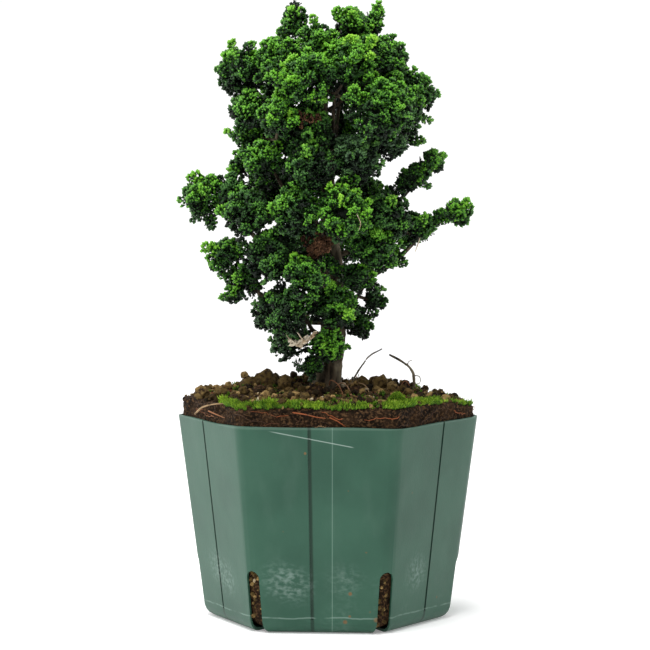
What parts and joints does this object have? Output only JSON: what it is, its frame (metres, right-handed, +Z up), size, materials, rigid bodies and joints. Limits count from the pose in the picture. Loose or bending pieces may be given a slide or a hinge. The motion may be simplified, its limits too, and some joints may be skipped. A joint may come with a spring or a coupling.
{
  "type": "potted hinoki cypress bonsai",
  "caption": "Young dwarf conifer with an upright trunk and knobbly scale-leaf sprays, rooted in a soil block in a six-sided green plastic slit pot that it rests on.",
  "frame": {"origin": "middle of the pot's base, on the surface it stands on", "axes": "+Z up along the trunk, +X to the viewer's right, -Y towards the viewer, who faces a flat side of the pot that is turned 4 degrees"},
  "size_m": [0.1698, 0.1556, 0.3506],
  "materials": {
    "pot_plastic": "satin blue-green moulded plastic, scuffed and dusty",
    "soil": "dark brown gritty soil with fine roots",
    "bark": "rough grey-brown bark",
    "dry_wood": "thin dry bare stem",
    "leaf_green": "waxy green scale leaves with yellow-green tips",
    "leaf_dead": "dried red-brown scale leaves"
  },
  "bodies": {
    "root": {"dry_stem_hooked": "dry_wood", "dry_stem_thin": "dry_wood", "pot": "pot_plastic", "soil": "soil", "spray_apex_left": "leaf_green", "spray_apex_middle": "leaf_green", "spray_apex_right": "leaf_green", "spray_back_crown": "leaf_green", "spray_back_crown_left": "leaf_green", "spray_back_heart": "leaf_green", "spray_back_left": "leaf_green", "spray_back_low": "leaf_green", "spray_back_middle": "leaf_green", "spray_back_right": "leaf_green", "spray_back_shoulder": "leaf_green", "spray_crown_front": "leaf_green", "spray_crown_front_right": "leaf_green", "spray_crown_left": "leaf_green", "spray_crown_left_tip": "leaf_green", "spray_crown_right": "leaf_green", "spray_crown_right_back": "leaf_green", "spray_crown_top": "leaf_green", "spray_dead_brown": "leaf_dead", "spray_far_left": "leaf_green", "spray_far_left_inner": "leaf_green", "spray_far_right": "leaf_green", "spray_far_right_inner": "leaf_green", "spray_front_bright": "leaf_green", "spray_front_foot": "leaf_green", "spray_front_low": "leaf_green", "spray_front_middle": "leaf_green", "spray_front_tuft": "leaf_green", "spray_heart": "leaf_green", "spray_heart_right": "leaf_green", "spray_heart_upper": "leaf_green", "spray_left_bright": "leaf_green", "spray_left_fan": "leaf_green", "spray_left_foot": "leaf_green", "spray_left_heart": "leaf_green", "spray_left_middle": "leaf_green", "spray_left_shoulder": "leaf_green", "spray_left_tier": "leaf_green", "spray_low_left": "leaf_green", "spray_low_left_tip": "leaf_green", "spray_middle_foot": "leaf_green", "spray_middle_right": "leaf_green", "spray_right_arm_low": "leaf_green", "spray_right_arm_tip": "leaf_green", "spray_right_foot": "leaf_green", "spray_right_heart": "leaf_green", "spray_right_inner": "leaf_green", "spray_right_low_bright": "leaf_green", "spray_right_low_tip": "leaf_green", "spray_right_shoulder": "leaf_green", "spray_right_shoulder_low": "leaf_green", "spray_right_under": "leaf_green", "spray_skirt_front": "leaf_green", "spray_skirt_left": "leaf_green", "spray_skirt_right": "leaf_green", "trunk_and_branches": "bark"}
  },
  "joints": []
}
